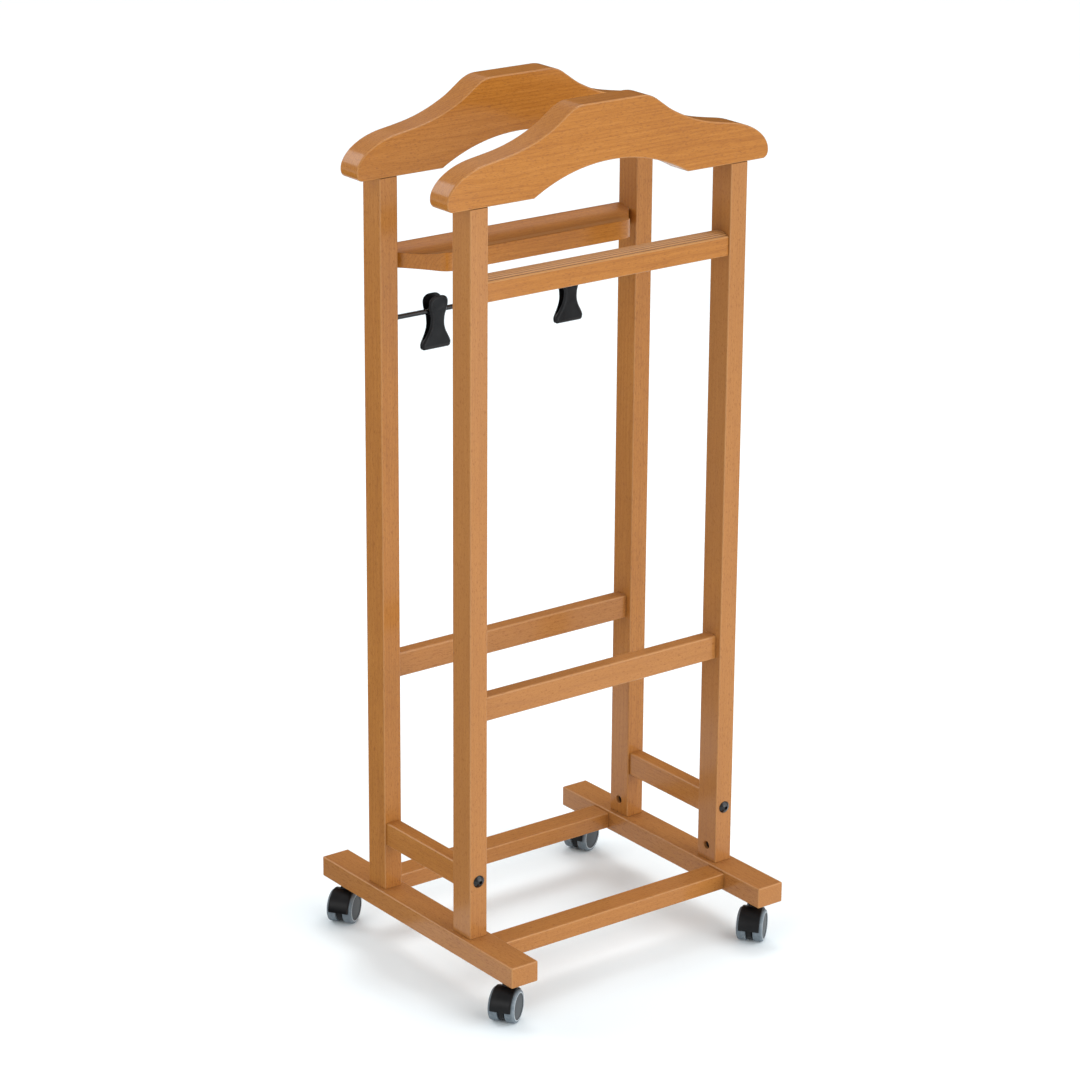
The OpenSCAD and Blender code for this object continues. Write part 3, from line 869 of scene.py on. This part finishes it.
def fender():
    """The curved guard over both wheels, rounded over its outer edges."""
    inner, outer = 20.8 * MM, 22.4 * MM
    half = FENDER_HALF
    edge = [(half, inner), (half, inner + 0.5 * MM), (half - 0.3 * MM, outer - 0.45 * MM),
            (half - 1.0 * MM, outer - 0.12 * MM), (half - 2.2 * MM, outer)]
    profile = [(-half, inner)] + edge + [(-y, r) for y, r in edge[:0:-1]]
    first, last, steps = math.radians(-1.5), math.radians(152), 52
    bm = bmesh.new()
    rings = []
    for i in range(steps + 1):
        a = first + (last - first) * i / steps
        rings.append([bm.verts.new((r * math.cos(a), y, r * math.sin(a))) for y, r in profile])
    bm.faces.new(rings[0])
    bm.faces.new(rings[-1][::-1])
    for a, b in zip(rings, rings[1:]):
        for k in range(len(profile)):
            m = (k + 1) % len(profile)
            bm.faces.new((a[k], a[m], b[m], b[k]))
    bmesh.ops.recalc_face_normals(bm, faces=bm.faces)
    return bm


def along_axle(bm):
    """Lays a lathe shape's axis along the axle, Y."""
    bmesh.ops.transform(bm, matrix=Matrix.Rotation(-math.pi / 2, 4, "X"), verts=bm.verts)
    return bm


def hood_shape():
    """Web, fender, neck and stem boss as one moulding, with the wheels' room cleared."""
    web_r, edge = 18.5 * MM, 0.8 * MM
    web = along_axle(turned([(0, -WEB_HALF), (web_r - edge, -WEB_HALF), (web_r, -WEB_HALF + edge),
                             (web_r, WEB_HALF - edge), (web_r - edge, WEB_HALF), (0, WEB_HALF)], 72))
    boss = turned([(0, 12 * MM), (9.5 * MM, 12 * MM), (9.8 * MM, 18.5 * MM), (8.9 * MM, 21.5 * MM),
                   (7.6 * MM, 23.6 * MM), (7.0 * MM, 24.4 * MM), (6.9 * MM, 26.3 * MM),
                   (6.5 * MM, 27 * MM), (0, 27 * MM)], 48)
    bmesh.ops.transform(boss, matrix=Matrix.Translation((-TRAIL, 0, 0)), verts=boss.verts)
    neck = round_edges(block((-24 * MM, -WEB_HALF, -1 * MM), (-12 * MM, WEB_HALF, 20 * MM)), 0.8 * MM,
                       lambda e: True)
    saddle = round_edges(block((-15 * MM, -6 * MM, 17 * MM), (-1 * MM, 6 * MM, 24.6 * MM)), 2.2 * MM,
                         lambda e: True)
    clear = WEB_HALF + 0.05 * MM
    rooms = [("DIFFERENCE", rod((0, s * clear, 0), (0, s * 24 * MM, 0), 20.85 * MM, 96))
             for s in (-1, 1)]
    bore = rod((-TRAIL, 0, 16.5 * MM), (-TRAIL, 0, 30 * MM), 3.05 * MM)
    axle_bore = rod((0, -10 * MM, 0), (0, 10 * MM, 0), 2.5 * MM)
    return shaped(web, ("UNION", neck), ("UNION", boss), ("UNION", saddle), ("UNION", fender()),
                  *rooms, ("DIFFERENCE", bore), ("DIFFERENCE", axle_bore))


WHEEL_W, CORE_R, BORE_R = 12.5 * MM, 17.4 * MM, 2.55 * MM


def tread_shape():
    """The soft tyre: fine ribs across its face and a rounded outer shoulder."""
    w, rib, sunk = WHEEL_W, 0.8 * MM, WHEEL_R - 0.10 * MM
    profile = [(CORE_R, 0.6 * MM), (WHEEL_R - 0.8 * MM, 0.6 * MM), (WHEEL_R - 0.25 * MM, 0.9 * MM),
               (WHEEL_R, 1.6 * MM)]
    count = int((w - 4.6 * MM) / rib)
    for i in range(count):
        z = 1.6 * MM + i * rib
        profile += [(WHEEL_R, z + 0.25 * rib), (sunk, z + 0.5 * rib), (sunk, z + 0.75 * rib),
                    (WHEEL_R, z + rib)]
    for d in range(0, 91, 15):
        a = math.radians(d)
        profile.append((WHEEL_R - 2.1 * MM * (1 - math.cos(a)), w - 2.5 * MM + 2.0 * MM * math.sin(a)))
    profile.append((CORE_R, w - 0.4 * MM))
    return turned(profile)


def core_shape():
    """The wheel's hard middle: a hub, a closed and slightly domed disc, and a rim lip."""
    w = WHEEL_W
    profile = [(BORE_R, 0), (5.5 * MM, 0), (5.5 * MM, 1 * MM), (7 * MM, w - 3.5 * MM),
               (CORE_R - 3 * MM, w - 3.5 * MM), (CORE_R - 2 * MM, 0.6 * MM), (CORE_R, 0.6 * MM),
               (CORE_R, w - 0.45 * MM), (CORE_R - 0.25 * MM, w - 0.12 * MM), (CORE_R - 0.7 * MM, w),
               (CORE_R - 1.15 * MM, w - 0.12 * MM), (CORE_R - 1.45 * MM, w - 0.5 * MM),
               (CORE_R - 1.6 * MM, w - 1.0 * MM), (CORE_R - 2.6 * MM, w - 1.15 * MM),
               (CORE_R - 6 * MM, w - 0.85 * MM), (CORE_R - 10 * MM, w - 0.65 * MM),
               (3.2 * MM, w - 0.58 * MM), (0, w - 0.56 * MM),
               (0, w - 1.8 * MM), (BORE_R, w - 1.8 * MM)]
    return turned(profile)


def castor(end, side, hood):
    here = castor_frame(end, side)
    name = f"{end}_{side}"
    finish_piece(f"{name}_castor_hood", hood.copy(), "castor_plastic", [f"{name}_hood"], crease=35,
                 move=here)
    for which in ("outer", "inner"):
        core_low, core_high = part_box(f"{name}_{which}_core")
        centre = here.inverted() @ ((Vector(core_low) + Vector(core_high)) / 2)
        s = 1 if centre.y > 0 else -1
        facing = Matrix.Rotation(-s * math.pi / 2, 4, "X")
        move = here @ Matrix.Translation((0, s * (WEB_HALF + 0.3 * MM), 0)) @ facing
        finish_piece(f"{name}_{which}_tyre", tread_shape(), "wheel_rubber",
                     [f"{name}_{which}_tread"], crease=40, move=move)
        disc = core_shape()
        for face in disc.faces:
            middle = face.calc_center_median()
            lip = (math.hypot(middle.x, middle.y) > CORE_R - 1.5 * MM
                   and middle.z > WHEEL_W - 0.6 * MM)
            face.material_index = 1 if lip else 0
        wheel = finish_piece(f"{name}_{which}_disc", disc, "wheel_plastic", [f"{name}_{which}_core"],
                             crease=40, move=move)
        wheel.data.materials.append(RIM_GREY)


# ----------------------------------------------------------------- build it all

posts()
feet()
rails()
trouser_bar()
tray()
for end in ENDS:
    shoulder(end)
for side in SIDES:
    clip(side)
moulding = hood_shape()
for end, side in CORNERS:
    castor(end, side, moulding)

# CAD nodes that keep their own shape take their finish from the record's slots
SLOT_OF = {row["node"]: row["material_slot"] for row in frame["record"]["subparts"]}
for name, node in NODES.items():
    if node.hide_render:
        continue
    node.data.materials.clear()
    node.data.materials.append(FINISH[SLOT_OF[name]])


# ----------------------------------------------------------------------- stage

def floor():
    mesh = bpy.data.meshes.new("floor")
    reach = 14.0
    corners = [(-reach, -reach, 0), (reach, -reach, 0), (reach, reach, 0), (-reach, reach, 0)]
    mesh.from_pydata(corners, [], [(0, 1, 2, 3)])
    obj = bpy.data.objects.new("floor", mesh)
    scene.collection.objects.link(obj)
    pale = Finish("pale_floor", Base_Color=rgb(0.895, 0.965, 1.0), Roughness=0.9,
                  Specular_IOR_Level=0.1)
    mesh.materials.append(pale.material)


def lamp(name, kind, place, aim, power, **settings):
    light = bpy.data.lights.new(name, kind)
    light.energy = power
    for key, value in settings.items():
        setattr(light, key, value)
    obj = bpy.data.objects.new(name, light)
    obj.location = place
    obj.rotation_mode = "QUATERNION"
    obj.rotation_quaternion = (Vector(aim) - Vector(place)).to_track_quat("-Z", "Y")
    obj.visible_camera = False
    scene.collection.objects.link(obj)


def dark_card(name, corners):
    """A black card that only mirror-like reflections see, so that the lacquer doesn't look milky."""
    mesh = bpy.data.meshes.new(name)
    mesh.from_pydata(corners, [], [(0, 1, 2, 3)])
    obj = bpy.data.objects.new(name, mesh)
    scene.collection.objects.link(obj)
    black = Finish(name, Base_Color=rgb(0.02, 0.02, 0.02), Roughness=1.0, Specular_IOR_Level=0.0)
    mesh.materials.append(black.material)
    obj.visible_camera = obj.visible_diffuse = obj.visible_shadow = False


floor()
dark_card("card_left", [(-0.24, 0.1, 0.002), (-0.24, 3.4, 0.002),
                        (-2.6, 3.4, 0.002), (-2.6, 0.1, 0.002)])
dark_card("card_behind", [(0.4, 3.2, 0.5), (3.0, 1.4, 0.5), (3.0, 1.4, 2.2), (0.4, 3.2, 2.2)])
lamp("overhead", "SUN", (1.7, 1.6, 4.0), (0, 0, 0), 0.90, angle=math.radians(24))
lamp("front", "SUN", (1.8, -4.0, 1.8), (0, 0, 0), 2.2, angle=math.radians(70))
lamp("low_front", "AREA", (0.4, -1.5, 0.35), (0, 0, 0.05), 2.2, shape="DISK", size=0.8)
lamp("behind_left", "AREA", (-1.6, 2.65, 2.65), (0, 0, 1.0), 30.0, shape="DISK", size=1.9)
lamp("left", "AREA", (-2.3, -0.5, 1.1), (0, 0, 0.6), 11.0, shape="DISK", size=1.3)

world = bpy.data.worlds.new("studio")
world.use_nodes = True
backdrop = world.node_tree.nodes["Background"]
backdrop.inputs["Color"].default_value = rgb(1.0, 1.0, 1.0)
backdrop.inputs["Strength"].default_value = 0.60
scene.world = world
scene.view_settings.view_transform = "Standard"

eye = bpy.data.cameras.new("camera")
eye.lens, eye.sensor_width = 124.39, 36.0
camera = bpy.data.objects.new("camera", eye)
turn = (Matrix.Rotation(math.radians(-37.054), 4, "Z") @ Matrix.Rotation(math.radians(70.657), 4, "X")
        @ Matrix.Rotation(math.radians(0.4), 4, "Z"))
camera.matrix_world = Matrix.Translation((-2.5335, -3.3285, 1.9707)) @ turn
scene.collection.objects.link(camera)
scene.camera = camera
bpy.context.view_layer.update()
